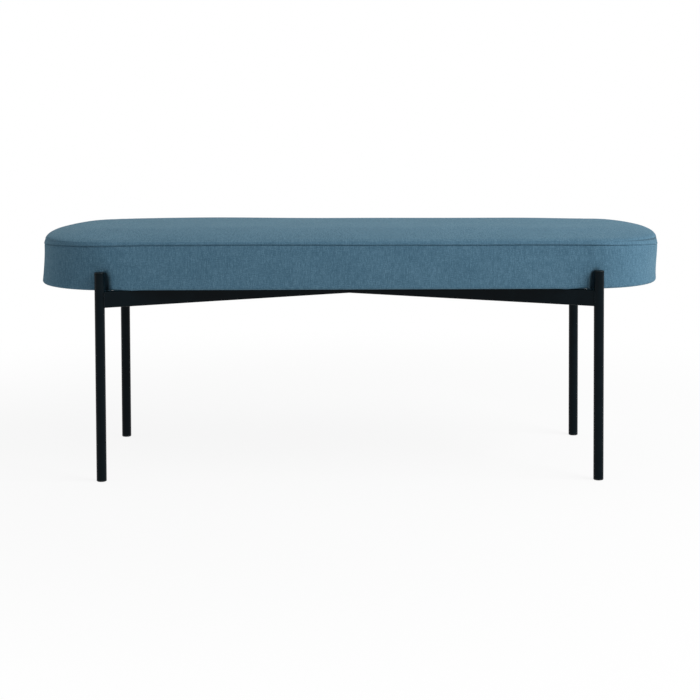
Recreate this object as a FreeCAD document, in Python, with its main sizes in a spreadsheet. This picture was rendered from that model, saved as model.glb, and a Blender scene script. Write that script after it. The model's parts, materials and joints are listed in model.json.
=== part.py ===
import FreeCAD
import Part
import Sketcher
import math
import os
import re

# Upholstered bench: a long padded seat with rounded ends, carried by two crossed steel bars
# on four round tube legs that stand against the sides of the seat.
# Millimetres. X runs along the bench, Y from front to back, Z up.
# The origin is on the floor, under the middle of the seat.

SIZES = {
    # Plan of the seat
    "seat_length": 1200,
    "seat_depth": 380,
    "corner_spacing": 90,
    "end_radius": 510,
    # Side of the seat, from its underside up to the seam
    "border_height": 82.6,
    "edge_radius": 5.5,
    "foot_draw": 0.6,
    "seam_draw": 1.6,
    # Rolled seam and crowned top
    "ridge_height": 6.4,
    "ridge_draw": 3.6,
    "ridge_face": 0.3,
    "crown_rise": 25.5,
    "crown_land": 14,
    "crown_power": 2.65,
    # Layers of the seat
    "cover_thickness": 1.2,
    "wadding_thickness": 6,
    "lay_gap": 0.2,
    "board_thickness": 12,
    "turn_under": 28,
    "dust_thickness": 0.6,
    "dust_margin": 12,
    # Legs
    "leg_inset": 133,
    "leg_diameter": 19,
    "leg_wall": 1.5,
    "leg_gap": 0.3,
    "leg_rise": 36.4,
    # Plastic caps and glides pressed into the legs
    "plug_clearance": 0.05,
    "cap_dome": 2.4,
    "cap_bevel": 1.6,
    "cap_stem": 10,
    "glide_height": 3,
    "glide_bevel": 1,
    "glide_stem": 14,
    # Crossed bars
    "bar_clearance": 328,
    "bar_height": 30,
    "bar_width": 15,
    "bar_wall": 1.5,
    "bar_corner": 2,
    # Weld beads
    "weld_radius": 2.2,
    "weld_margin": 1,
    # Screws that hold the seat
    "bolt_diameter": 6,
    "bolt_head": 10.5,
    "bolt_head_height": 3.3,
    "bolt_socket": 4,
    "socket_depth": 2,
    "bolt_hole": 6.6,
    "bolt_tip_gap": 0.4,
    "access_hole": 11.6,
    "bolt_margin": 7,
    "washer_diameter": 11,
    "washer_thickness": 1.6,
    "tee_flange": 19,
    "tee_flange_thickness": 1.5,
    "tee_barrel": 8,
    "tee_length": 9,
    "tee_clearance": 0.1,
}

# Lengths that follow from the sizes
CORNER_RADIUS = "((seat_depth - corner_spacing) / 2)"
END_CENTRE = "(seat_length / 2 - end_radius)"
CORNER_X = f"({END_CENTRE} + sqrt((end_radius - {CORNER_RADIUS})^2 - (corner_spacing / 2)^2))"
CROWN_REACH = f"({CORNER_RADIUS} - crown_land)"
LEG_X = "(seat_length / 2 - leg_inset)"
LEG_STAND_OFF = f"({CORNER_RADIUS} + leg_gap + leg_diameter / 2)"
LEG_Y = f"(corner_spacing / 2 + sqrt({LEG_STAND_OFF}^2 - max({LEG_X} - {CORNER_X}; 0)^2))"
ARM_LENGTH = f"sqrt({LEG_X}^2 + {LEG_Y}^2)"
ARM_ANGLE = f"atan({LEG_Y} / {LEG_X})"
BOLT_REACH = f"((seat_depth / 2 - turn_under - bolt_margin) / sin({ARM_ANGLE}))"

# Heights above the floor
BAR_TOP = "(bar_clearance + bar_height)"
HEAD_SEAT = f"({BAR_TOP} - bar_wall - washer_thickness)"
UNDERSIDE = f"({BAR_TOP} + dust_thickness)"
SEAM = f"({UNDERSIDE} + border_height)"
BOARD_BOTTOM = f"({UNDERSIDE} + cover_thickness)"
BOARD_TOP = f"({BOARD_BOTTOM} + board_thickness)"
LEG_END = f"({UNDERSIDE} + leg_rise - cap_dome)"

# Depth of each layer under the outer face of the cover
WADDING_OUTSIDE = "(cover_thickness + lay_gap)"
WADDING_INSIDE = f"({WADDING_OUTSIDE} + wadding_thickness)"
FOAM_OUTSIDE = f"({WADDING_INSIDE} + lay_gap)"

# How far along the crown's reach its sections stand
CROWN_STEPS = (0.07, 0.17, 0.34, 0.6, 1.0)

# Left or right, and front or back, of the four legs
LEGS = {
    "front_left": (-1, -1),
    "front_right": (1, -1),
    "rear_left": (-1, 1),
    "rear_right": (1, 1),
}

document = FreeCAD.newDocument("bench")
sheet = document.addObject("Spreadsheet::Sheet", "Sizes")
for row, (alias, number) in enumerate(SIZES.items(), start=1):
    sheet.set(f"A{row}", alias)
    sheet.set(f"B{row}", str(number))
    sheet.setAlias(f"B{row}", alias)
document.recompute()


def bind(text):
    """Point every size named in an expression at its cell."""
    return re.sub(r"[a-z]+(?:_[a-z]+)+", r"Sizes.\g<0>", text)


def value(text):
    """Work out an expression's present value."""
    return float(sheet.evalExpression(bind(text)))


def drive(thing, name, text):
    """Bind one property of an object to an expression."""
    thing.setExpression(name, bind(text))


def new_body(name):
    """Start a sub-part's body."""
    body = document.addObject("PartDesign::Body", name)
    body.Label = name
    return body


def new_sketch(body, role, offset="0"):
    """Attach a sketch to one of the body's own planes, at an offset along the plane's normal."""
    plane = next(item for item in body.Origin.OriginFeatures if item.Role == role)
    sketch = body.newObject("Sketcher::SketchObject", f"{body.Name}_sketch")
    sketch.AttachmentSupport = [(plane, "")]
    sketch.MapMode = "FlatFace"
    drive(sketch, "AttachmentOffset.Base.z", offset)
    return sketch


def dimension(sketch, text, kind, *places):
    """Add a driven dimension to a sketch."""
    index = sketch.addConstraint(Sketcher.Constraint(kind, *places, value(text)))
    name = f"size_{index}"
    sketch.renameConstraint(index, name)
    drive(sketch, f"Constraints.{name}", text)


def pin(sketch, geometry, point, place):
    """Hold a point of a sketch at a place given as two expressions."""
    for text, kind, axis in zip(place, ("DistanceX", "DistanceY"), (-2, -1)):
        if abs(value(text)) < 1e-7:
            sketch.addConstraint(Sketcher.Constraint("PointOnObject", geometry, point, axis))
        elif value(text) > 0:
            dimension(sketch, text, kind, -1, 1, geometry, point)
        else:
            dimension(sketch, f"-({text})", kind, geometry, point, -1, 1)


def polygon(sketch, corners):
    """Draw a closed polygon through corners given as pairs of expressions."""
    points = [FreeCAD.Vector(value(x), value(y), 0) for x, y in corners]
    count = len(points)
    first = sketch.GeometryCount
    sketch.addGeometry([Part.LineSegment(points[i], points[(i + 1) % count]) for i in range(count)], False)
    for i in range(count):
        sketch.addConstraint(Sketcher.Constraint("Coincident", first + i, 2, first + (i + 1) % count, 1))
        pin(sketch, first + i, 1, corners[i])


def rectangle(sketch, width, height):
    """Draw a rectangle about the sketch's origin."""
    half = (f"({width}) / 2", f"({height}) / 2")
    signs = ((-1, -1), (1, -1), (1, 1), (-1, 1))
    polygon(sketch, [(f"{across} * {half[0]}", f"{up} * {half[1]}") for across, up in signs])


def circle(sketch, diameter, place=("0", "0")):
    """Draw a circle of a driven diameter about a place."""
    centre = FreeCAD.Vector(value(place[0]), value(place[1]), 0)
    index = sketch.addGeometry(Part.Circle(centre, FreeCAD.Vector(0, 0, 1), value(diameter) / 2), False)
    pin(sketch, index, 3, place)
    dimension(sketch, diameter, "Diameter", index)


def outline(sketch, inset):
    """Draw the seat's plan: straight sides, four corner arcs and two bowed ends, moved in by an inset."""
    half_depth = value(f"seat_depth / 2 - ({inset})")
    corner = value(f"{CORNER_RADIUS} - ({inset})")
    bow = value(f"end_radius - ({inset})")
    corner_x = value(CORNER_X)
    corner_y = value("corner_spacing / 2")
    end_x = value(END_CENTRE)
    tip = math.atan2(corner_y, corner_x - end_x)
    quarter = math.pi / 2

    def line(y, start, end):
        return Part.LineSegment(FreeCAD.Vector(start, y, 0), FreeCAD.Vector(end, y, 0))

    def arc(x, y, radius, start, end):
        return Part.ArcOfCircle(Part.Circle(FreeCAD.Vector(x, y, 0), FreeCAD.Vector(0, 0, 1), radius), start, end)

    front, right_front, right, right_back, back, left_back, left, left_front = range(8)
    sketch.addGeometry([
        line(-half_depth, -corner_x, corner_x),
        arc(corner_x, -corner_y, corner, -quarter, -tip),
        arc(end_x, 0, bow, -tip, tip),
        arc(corner_x, corner_y, corner, tip, quarter),
        line(half_depth, corner_x, -corner_x),
        arc(-corner_x, corner_y, corner, quarter, 2 * quarter - tip),
        arc(-end_x, 0, bow, 2 * quarter - tip, 2 * quarter + tip),
        arc(-corner_x, -corner_y, corner, 2 * quarter + tip, 3 * quarter),
    ], False)
    for edge in range(8):
        sketch.addConstraint(Sketcher.Constraint("Tangent", edge, 2, (edge + 1) % 8, 1))
    for edge in (front, back):
        sketch.addConstraint(Sketcher.Constraint("Horizontal", edge))
    for edge in (right_back, left_back, left_front):
        sketch.addConstraint(Sketcher.Constraint("Equal", right_front, edge))
    sketch.addConstraint(Sketcher.Constraint("Equal", right, left))
    pin(sketch, right, 3, (END_CENTRE, "0"))
    pin(sketch, left, 3, (f"-{END_CENTRE}", "0"))
    dimension(sketch, f"seat_depth / 2 - ({inset})", "DistanceY", front, 1, -1, 1)
    dimension(sketch, f"seat_depth / 2 - ({inset})", "DistanceY", -1, 1, back, 1)
    dimension(sketch, f"{CORNER_RADIUS} - ({inset})", "Radius", right_front)
    dimension(sketch, f"end_radius - ({inset})", "Radius", right)


def loft(body, levels, kind="AdditiveLoft"):
    """Loft the seat's outline through levels, each a height and an inset."""
    sections = []
    for height, inset in levels:
        section = new_sketch(body, "XY_Plane", height)
        outline(section, inset)
        sections.append(section)
    feature = body.newObject(f"PartDesign::{kind}", f"{body.Name}_{kind}")
    feature.Profile = sections[0]
    feature.Sections = sections[1:]
    feature.Ruled = True
    return feature


def pad(body, sketch, length):
    """Raise a sketch along its normal."""
    feature = body.newObject("PartDesign::Pad", f"{body.Name}_pad")
    feature.Profile = sketch
    drive(feature, "Length", length)
    return feature


def cut(body, sketch, upward=None):
    """Cut a sketch through the body, upward or downward only, or both ways."""
    feature = body.newObject("PartDesign::Pocket", f"{body.Name}_cut")
    feature.Profile = sketch
    feature.Type = "ThroughAll"
    if upward is None:
        feature.SideType = "Symmetric"
    else:
        feature.Reversed = upward
    return feature


def revolve(body, corners):
    """Turn a half section, drawn against the upright axis, into a round piece."""
    sketch = new_sketch(body, "XZ_Plane")
    polygon(sketch, corners)
    feature = body.newObject("PartDesign::Revolution", f"{body.Name}_turned")
    feature.Profile = sketch
    feature.ReferenceAxis = (sketch, ["V_Axis"])
    feature.Angle = 360
    document.recompute()
    return feature


def fillet(body, feature, radius, chosen):
    """Round the edges of a feature that a test picks out."""
    document.recompute()
    edges = [f"Edge{i}" for i, edge in enumerate(feature.Shape.Edges, start=1) if chosen(edge)]
    rounding = body.newObject("PartDesign::Fillet", f"{body.Name}_round")
    rounding.Base = (feature, edges)
    drive(rounding, "Radius", radius)
    return rounding


def copies(name, template, places):
    """Repeat a small piece at places, each a position and a turn about the upright axis, as one group."""
    links = []
    for number, (x, y, z, turn) in enumerate(places, start=1):
        link = document.addObject("App::Link", f"{name}_{number}")
        link.LinkedObject = template
        drive(link, "Placement.Base.x", x)
        drive(link, "Placement.Base.y", y)
        drive(link, "Placement.Base.z", z)
        drive(link, "Placement.Rotation.Angle", turn)
        links.append(link)
    group = document.addObject("Part::Compound", name)
    group.Label = name
    group.Links = links
    return group


def side_levels(skin):
    """Levels of the seat's side at a depth under its face, with the lower edge rounded."""
    edge = f"(edge_radius - {skin})"
    slant = "0.70711"
    return [
        (f"{UNDERSIDE} + {skin}", "edge_radius + foot_draw"),
        (f"{UNDERSIDE} + {skin} + {edge} * (1 - {slant})", f"{skin} + foot_draw + {edge} * (1 - {slant})"),
        (f"{UNDERSIDE} + edge_radius", f"{skin} + foot_draw"),
        (f"{UNDERSIDE} + border_height * 0.5", f"{skin}"),
        (f"{UNDERSIDE} + border_height * 0.85", f"{skin} + seam_draw * 0.3"),
        (f"{SEAM}", f"{skin} + seam_draw"),
    ]


def ridge_levels():
    """Levels of the rolled seam that stands proud around the edge of the top."""
    return [
        (f"{SEAM}", "seam_draw"),
        (f"{SEAM} + ridge_height * 0.25", "ridge_face"),
        (f"{SEAM} + ridge_height * 0.75", "ridge_face * 2"),
        (f"{SEAM} + ridge_height", "ridge_draw"),
    ]


def crown_levels(skin):
    """Levels of the crowned top at a depth under its face: steep at the rim, flat in the middle."""
    rise = [f"crown_rise * sqrt(1 - (1 - {step})^crown_power)" for step in CROWN_STEPS]
    return [
        (f"{SEAM} + {height} - {skin}", f"{CROWN_REACH} * {step} + {skin}")
        for step, height in zip(CROWN_STEPS, rise)
    ]


def cover_border():
    """The cloth band round the seat, turned under and fixed below the board."""
    body = new_body("cover_border")
    loft(body, side_levels("0"))
    loft(body, side_levels("cover_thickness"), "SubtractiveLoft")
    opening = new_sketch(body, "XY_Plane", UNDERSIDE)
    outline(opening, "turn_under")
    cut(body, opening)
    return body


def cover_top_panel():
    """The crowned cloth top with its rolled seam, sewn to the band all round."""
    body = new_body("cover_top_panel")
    loft(body, ridge_levels() + crown_levels("0"))
    inside = [(f"{SEAM}", "seam_draw + cover_thickness")] + crown_levels("cover_thickness")
    loft(body, inside, "SubtractiveLoft")
    return body


def wadding_layer():
    """The soft layer between the foam and the cover, round the sides and over the top."""
    body = new_body("wadding_layer")
    loft(body, padding_levels(WADDING_OUTSIDE, BOARD_BOTTOM))
    loft(body, padding_levels(WADDING_INSIDE, BOARD_BOTTOM), "SubtractiveLoft")
    return body


def padding_levels(skin, bottom):
    """Levels of a layer of padding, from its bottom over its sides and crown."""
    return [
        (bottom, f"{skin} + edge_radius"),
        (f"{bottom} + edge_radius", f"{skin} + foot_draw"),
        (f"{UNDERSIDE} + border_height * 0.5", skin),
        (f"{SEAM}", f"{skin} + seam_draw"),
    ] + crown_levels(skin)


def seat_foam():
    """The shaped foam block that gives the seat its form, glued on the board."""
    body = new_body("seat_foam")
    foot = [
        (BOARD_TOP, f"{FOAM_OUTSIDE} + foot_draw"),
        (f"{UNDERSIDE} + border_height * 0.5", FOAM_OUTSIDE),
        (f"{SEAM}", f"{FOAM_OUTSIDE} + seam_draw"),
    ]
    loft(body, foot + crown_levels(FOAM_OUTSIDE))
    return body


def bolt_spots():
    """Where the screws go up into the seat, one near the end of each arm of the cross."""
    return [
        (f"{across} * {BOLT_REACH} * cos({ARM_ANGLE})", f"{along} * {BOLT_REACH} * sin({ARM_ANGLE})")
        for across, along in LEGS.values()
    ]


def base_board():
    """The plywood board, with a stepped hole for each tee nut."""
    body = new_body("base_board")
    plan = new_sketch(body, "XY_Plane", BOARD_BOTTOM)
    outline(plan, f"{FOAM_OUTSIDE} + edge_radius")
    pad(body, plan, "board_thickness")
    bores = new_sketch(body, "XY_Plane", BOARD_BOTTOM)
    for spot in bolt_spots():
        circle(bores, "tee_barrel + 2 * tee_clearance", spot)
    cut(body, bores)
    seats = new_sketch(body, "XY_Plane", BOARD_TOP)
    for spot in bolt_spots():
        circle(seats, "tee_flange + 2 * tee_clearance", spot)
    recess = body.newObject("PartDesign::Pocket", "flange_seats")
    recess.Profile = seats
    drive(recess, "Length", "tee_flange_thickness")
    return body


def dust_cover():
    """The thin cloth that closes the seat's underside, pierced by the screws."""
    body = new_body("dust_cover")
    plan = new_sketch(body, "XY_Plane", BAR_TOP)
    outline(plan, "dust_margin")
    for spot in bolt_spots():
        circle(plan, "bolt_hole", spot)
    pad(body, plan, "dust_thickness")
    return body


def bar_tube(name, start, end, holes):
    """A rectangular tube along X between two places, with screw holes above and access holes below."""
    body = new_body(name)
    section = new_sketch(body, "YZ_Plane", start)
    rectangle(section, "bar_width", "bar_height")
    solid = pad(body, section, f"({end}) - ({start})")
    fillet(body, solid, "bar_corner", lambda edge: abs(edge.tangentAt(edge.FirstParameter).x) > 0.99)
    hollow = new_sketch(body, "YZ_Plane")
    rectangle(hollow, "bar_width - 2 * bar_wall", "bar_height - 2 * bar_wall")
    cut(body, hollow)
    for diameter, upward in (("bolt_hole", True), ("access_hole", False)):
        drilled = new_sketch(body, "XY_Plane")
        for place in holes:
            circle(drilled, diameter, (place, "0"))
        cut(body, drilled, upward)
    drive(body, "Placement.Base.z", "bar_clearance + bar_height / 2")
    return body


def cope(body, places):
    """Hollow the ends of a bar to the round of the legs."""
    rounds = new_sketch(body, "XY_Plane")
    for place in places:
        circle(rounds, "leg_diameter", (place, "0"))
    cut(body, rounds)


def cross_bar():
    """The bar that runs unbroken from the front left leg to the rear right leg."""
    body = bar_tube("cross_bar", f"-{ARM_LENGTH}", ARM_LENGTH, (f"-{BOLT_REACH}", BOLT_REACH))
    cope(body, (f"-{ARM_LENGTH}", ARM_LENGTH))
    drive(body, "Placement.Rotation.Angle", ARM_ANGLE)
    return body


def half_bar(name, turn):
    """One of the two shorter bars, mitred against the side of the unbroken bar."""
    body = bar_tube(name, "0", ARM_LENGTH, (BOLT_REACH,))
    cope(body, (ARM_LENGTH,))
    mitre = new_sketch(body, "XY_Plane")
    drive(mitre, "AttachmentOffset.Rotation.Angle", f"2 * {ARM_ANGLE}")
    waste = "4 * bar_width"
    polygon(mitre, [
        (f"-{waste}", "-bar_width / 2"),
        (waste, "-bar_width / 2"),
        (waste, "bar_width"),
        (f"-{waste}", "bar_width"),
    ])
    cut(body, mitre)
    drive(body, "Placement.Rotation.Angle", turn)
    return body


def leg(name, across, along):
    """A round tube leg, standing clear of the seat's side by a hair."""
    body = new_body(f"leg_{name}")
    ring = new_sketch(body, "XY_Plane")
    circle(ring, "leg_diameter")
    circle(ring, "leg_diameter - 2 * leg_wall")
    pad(body, ring, f"{LEG_END} - glide_height")
    stand(body, across, along, "glide_height")
    return body


def stand(body, across, along, height):
    """Place a piece on the axis of a leg."""
    drive(body, "Placement.Base.x", f"{across} * {LEG_X}")
    drive(body, "Placement.Base.y", f"{along} * {LEG_Y}")
    drive(body, "Placement.Base.z", height)


def leg_cap(name, across, along):
    """The low domed cap on top of a leg, with a stem that fits the tube."""
    body = new_body(f"leg_cap_{name}")
    stem = "leg_diameter / 2 - leg_wall - plug_clearance"
    revolve(body, [
        ("0", "-cap_stem"),
        (stem, "-cap_stem"),
        (stem, "0"),
        ("leg_diameter / 2", "0"),
        ("leg_diameter / 2", "cap_dome - cap_bevel"),
        ("leg_diameter / 2 - cap_bevel", "cap_dome"),
        ("0", "cap_dome"),
    ])
    stand(body, across, along, LEG_END)
    return body


def foot_glide(name, across, along):
    """The plastic glide under a leg, with a stem that fits the tube."""
    body = new_body(f"foot_glide_{name}")
    stem = "leg_diameter / 2 - leg_wall - plug_clearance"
    revolve(body, [
        ("0", "0"),
        ("leg_diameter / 2 - glide_bevel", "0"),
        ("leg_diameter / 2", "glide_bevel"),
        ("leg_diameter / 2", "glide_height"),
        (stem, "glide_height"),
        (stem, "glide_height + glide_stem"),
        ("0", "glide_height + glide_stem"),
    ])
    stand(body, across, along, "0")
    return body


def leg_welds():
    """Upright beads in the corners between each leg and the sides of its bar."""
    body = new_body("leg_weld_pair")
    notch = "-sqrt((leg_diameter / 2)^2 - (bar_width / 2)^2)"
    beads = new_sketch(body, "XY_Plane")
    for side in ("-", ""):
        circle(beads, "2 * weld_radius", (notch, f"{side}bar_width / 2"))
    pad(body, beads, "bar_height - 2 * weld_margin")
    tube = new_sketch(body, "XY_Plane")
    circle(tube, "leg_diameter")
    cut(body, tube)
    bar = new_sketch(body, "XY_Plane")
    rectangle(bar, "4 * leg_diameter", "bar_width")
    cut(body, bar)
    places = []
    for across, along in LEGS.values():
        turn = f"{along} * {ARM_ANGLE}" if across > 0 else f"180 deg - {along} * {ARM_ANGLE}"
        foot = "bar_clearance + weld_margin"
        places.append((f"{across} * {LEG_X}", f"{along} * {LEG_Y}", foot, turn))
    return copies("leg_welds", body, places)


def crossing_welds():
    """Upright beads where the two half bars meet the unbroken bar."""
    body = new_body("crossing_weld_pair")
    half = "bar_width / 2"
    beads = new_sketch(body, "XY_Plane")
    for side in ("-", "+"):
        reach = f"{half} / tan(2 * {ARM_ANGLE}) {side} {half} / sin(2 * {ARM_ANGLE})"
        circle(beads, "2 * weld_radius", (reach, f"-{half}"))
    pad(body, beads, "bar_height - 2 * weld_margin")
    long_bar = new_sketch(body, "XY_Plane")
    rectangle(long_bar, "8 * bar_width", "bar_width")
    cut(body, long_bar)
    short_bar = new_sketch(body, "XY_Plane")
    drive(short_bar, "AttachmentOffset.Rotation.Angle", f"-2 * {ARM_ANGLE}")
    rectangle(short_bar, "8 * bar_width", "bar_width")
    cut(body, short_bar)
    foot = "bar_clearance + weld_margin"
    return copies("crossing_welds", body, [("0", "0", foot, ARM_ANGLE), ("0", "0", foot, f"180 deg + {ARM_ANGLE}")])


def seat_bolts():
    """Socket screws that pull the seat down on the bars, their heads inside the tubes."""
    body = new_body("seat_bolt")
    shank = f"{BOARD_TOP} - {HEAD_SEAT} - bolt_tip_gap"
    revolve(body, [
        ("0", "-bolt_head_height"),
        ("bolt_head / 2", "-bolt_head_height"),
        ("bolt_head / 2", "0"),
        ("bolt_diameter / 2", "0"),
        ("bolt_diameter / 2", shank),
        ("0", shank),
    ])
    socket = new_sketch(body, "XY_Plane", "-bolt_head_height")
    reach = "bolt_socket / sqrt(3)"
    polygon(socket, [(f"{reach} * cos({60 * side})", f"{reach} * sin({60 * side})") for side in range(6)])
    recess = body.newObject("PartDesign::Pocket", "socket")
    recess.Profile = socket
    recess.Reversed = True
    drive(recess, "Length", "socket_depth")
    return copies("seat_bolts", body, at_bolts(HEAD_SEAT))


def at_bolts(height):
    """The screw spots at one height, as places for copies."""
    return [(x, y, height, "0") for x, y in bolt_spots()]


def bolt_washers():
    """Narrow flat washers between the screw heads and the upper walls of the bars."""
    body = new_body("bolt_washer")
    ring = new_sketch(body, "XY_Plane")
    circle(ring, "washer_diameter")
    circle(ring, "bolt_hole")
    pad(body, ring, "washer_thickness")
    return copies("bolt_washers", body, at_bolts(HEAD_SEAT))


def tee_nuts():
    """Flanged nuts let into the top of the board, under the foam."""
    body = new_body("tee_nut")
    bore = "bolt_diameter / 2 + tee_clearance"
    revolve(body, [
        (bore, "-tee_length"),
        ("tee_barrel / 2", "-tee_length"),
        ("tee_barrel / 2", "-tee_flange_thickness"),
        ("tee_flange / 2", "-tee_flange_thickness"),
        ("tee_flange / 2", "0"),
        (bore, "0"),
    ])
    return copies("tee_nuts", body, at_bolts(BOARD_TOP))


def build():
    """Make every sub-part of the bench."""
    pieces = [
        cover_top_panel(),
        cover_border(),
        wadding_layer(),
        seat_foam(),
        base_board(),
        dust_cover(),
        cross_bar(),
        half_bar("half_bar_front_right", f"-{ARM_ANGLE}"),
        half_bar("half_bar_rear_left", f"180 deg - {ARM_ANGLE}"),
    ]
    for name, (across, along) in LEGS.items():
        pieces.append(leg(name, across, along))
        pieces.append(leg_cap(name, across, along))
        pieces.append(foot_glide(name, across, along))
    pieces += [leg_welds(), crossing_welds(), seat_bolts(), bolt_washers(), tee_nuts()]
    document.recompute()
    return pieces


def check(pieces):
    """Stop if anything in the document failed or a sub-part has no sound shape."""
    for thing in document.Objects:
        if "Invalid" in thing.State or "Error" in thing.State:
            raise RuntimeError(f"{thing.Name} failed: {thing.State}")
    for piece in pieces:
        if piece.Shape.isNull() or not piece.Shape.isValid():
            raise RuntimeError(f"{piece.Label} has no valid shape")


def write(pieces):
    """Write each sub-part to its own file."""
    os.makedirs("parts", exist_ok=True)
    for piece in pieces:
        piece.Shape.exportStep(f"parts/{piece.Label}.step")
        box = piece.Shape.BoundBox
        print(f"{piece.Label}: {len(piece.Shape.Solids)} solid, {piece.Shape.Volume / 1000:.2f} cm3,"
              f" z {box.ZMin:.1f} to {box.ZMax:.1f}")


bench = build()
check(bench)
write(bench)
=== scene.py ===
import json
import logging
import math
from contextlib import contextmanager
from dataclasses import dataclass
from enum import Enum
from typing import Dict, Iterable, Iterator, List, NamedTuple, Optional, Sequence, Tuple, Union

import bmesh
import bpy
from mathutils import Matrix, Vector, noise


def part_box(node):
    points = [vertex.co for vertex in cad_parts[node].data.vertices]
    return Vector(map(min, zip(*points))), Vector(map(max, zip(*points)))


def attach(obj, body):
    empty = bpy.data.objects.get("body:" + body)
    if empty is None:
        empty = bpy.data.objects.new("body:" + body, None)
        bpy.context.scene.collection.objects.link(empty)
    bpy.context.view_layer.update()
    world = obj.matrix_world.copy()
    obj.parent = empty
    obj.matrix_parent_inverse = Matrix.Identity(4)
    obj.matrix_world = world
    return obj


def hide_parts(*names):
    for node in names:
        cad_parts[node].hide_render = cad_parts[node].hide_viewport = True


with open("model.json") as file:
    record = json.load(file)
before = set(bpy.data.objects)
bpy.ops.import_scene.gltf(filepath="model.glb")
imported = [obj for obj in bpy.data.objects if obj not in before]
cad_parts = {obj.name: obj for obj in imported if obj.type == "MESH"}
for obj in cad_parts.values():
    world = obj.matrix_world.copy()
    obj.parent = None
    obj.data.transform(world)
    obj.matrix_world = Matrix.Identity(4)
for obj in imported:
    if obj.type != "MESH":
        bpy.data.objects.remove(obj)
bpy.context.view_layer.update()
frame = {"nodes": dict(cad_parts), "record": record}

# Upholstered bench with rounded ends on a crossed-bar frame of black steel tube.
# Metres. X runs along the bench, Y from front to back, Z up from the floor.

log = logging.getLogger("bench")
Number = Union[int, float]
Colour = Tuple[float, float, float]
WHITE: Colour = (1.0, 1.0, 1.0)
LEGS = ("front_left", "front_right", "rear_left", "rear_right")


def unit(value: float) -> float:
    """Keep a number between 0 and 1."""
    return min(max(value, 0.0), 1.0)


def past(value: float, start: float, softness: float) -> float:
    """Rise softly from 0 to 1 as a value passes a start."""
    return 1.0 / (1.0 + math.exp((start - value) / softness))


def bell(value: float, middle: float, reach: float) -> float:
    """1 at a middle, and falling softly to nothing on both sides of it."""
    return math.exp(-(((value - middle) / reach) ** 2))


class Facing(Enum):
    """Which way a face of the seat looks, so that its cloth is laid along it."""

    LEVEL = "level"
    UPRIGHT = "upright"


class Socket:
    """A value inside a material, with the arithmetic of plain numbers."""

    def __init__(self, nodes: "Nodes", output: bpy.types.NodeSocket) -> None:
        """Wrap one output of a node.

        Args:
            nodes: the tree that the node stands in.
            output: the node's output.
        """
        self.nodes = nodes
        self.output = output

    def _math(self, operation: str, *values: "Value") -> "Socket":
        """Add one Math node and return its result."""
        return self.nodes.node("ShaderNodeMath", {"operation": operation}, dict(enumerate(values)))

    def __add__(self, other: "Value") -> "Socket":
        """Add a number or another value."""
        return self._math("ADD", self, other)

    def __sub__(self, other: "Value") -> "Socket":
        """Take a number or another value away."""
        return self._math("SUBTRACT", self, other)

    def __mul__(self, other: "Value") -> "Socket":
        """Multiply by a number or another value."""
        return self._math("MULTIPLY", self, other)

    def __truediv__(self, other: "Value") -> "Socket":
        """Divide by a number or another value."""
        return self._math("DIVIDE", self, other)

    def __rsub__(self, other: "Value") -> "Socket":
        """Take this value away from a number."""
        return self._math("SUBTRACT", other, self)

    __radd__ = __add__
    __rmul__ = __mul__

    def sine(self) -> "Socket":
        """Take the sine of an angle in radians."""
        return self._math("SINE", self)

    def clamped(self, low: Number = 0.0, high: Number = 1.0) -> "Socket":
        """Keep the value between two numbers."""
        return self._math("MINIMUM", self._math("MAXIMUM", self, low), high)

    def smooth(self, low: Number, high: Number) -> "Socket":
        """Rise softly from 0 at one number to 1 at another."""
        inputs = {"Value": self, "From Min": low, "From Max": high}
        return self.nodes.node("ShaderNodeMapRange", {"interpolation_type": "SMOOTHSTEP"}, inputs)


Value = Union[Number, Socket, Sequence[float]]


class Nodes:
    """The nodes of a material or of the world, being put together."""

    def __init__(self, tree: bpy.types.NodeTree) -> None:
        """Start an empty tree.

        Args:
            tree: the tree to fill.
        """
        self.tree = tree
        self.tree.nodes.clear()

    def node(
        self,
        kind: str,
        settings: Optional[Dict[str, object]] = None,
        inputs: Optional[Dict[Union[int, str], Value]] = None,
        output: Union[int, str] = 0,
    ) -> Socket:
        """Add one node.

        Args:
            kind: the node's type.
            settings: properties that are set before the sockets are filled.
            inputs: numbers, colours or values for its sockets, by name or place.
            output: which output to return.

        Returns:
            The chosen output.
        """
        made = self.tree.nodes.new(kind)
        for name, setting in (settings or {}).items():
            setattr(made, name, setting)
        for name, value in (inputs or {}).items():
            self.fill(made.inputs[name], value)
        return Socket(self, made.outputs[output])

    def fill(self, socket: bpy.types.NodeSocket, value: Value) -> None:
        """Link a value to a socket, or set the socket to a number or colour.

        Args:
            socket: the socket to fill.
            value: what goes in.
        """
        if isinstance(value, Socket):
            self.tree.links.new(value.output, socket)
        elif hasattr(value, "__len__") and len(value) == 3 and socket.type == "RGBA":
            socket.default_value = (*value, 1.0)
        else:
            socket.default_value = value

    def blend(self, factor: Value, first: Value, second: Value) -> Socket:
        """Mix two colours.

        Args:
            factor: 0 for the first colour and 1 for the second.
            first: a colour.
            second: a colour.

        Returns:
            The mixed colour.
        """
        made = self.tree.nodes.new("ShaderNodeMix")
        made.data_type = "RGBA"
        self.fill(made.inputs[0], factor)
        self.fill(made.inputs[6], first)
        self.fill(made.inputs[7], second)
        return Socket(self, made.outputs[2])

    def sight(self) -> Socket:
        """1 for rays that show the studio as the camera sees it, and 0 for those that carry light."""
        kinds = ("Camera", "Glossy", "Transmission")
        return sum(self.node("ShaderNodeLightPath", output=f"Is {kind} Ray") for kind in kinds).clamped()


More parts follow.
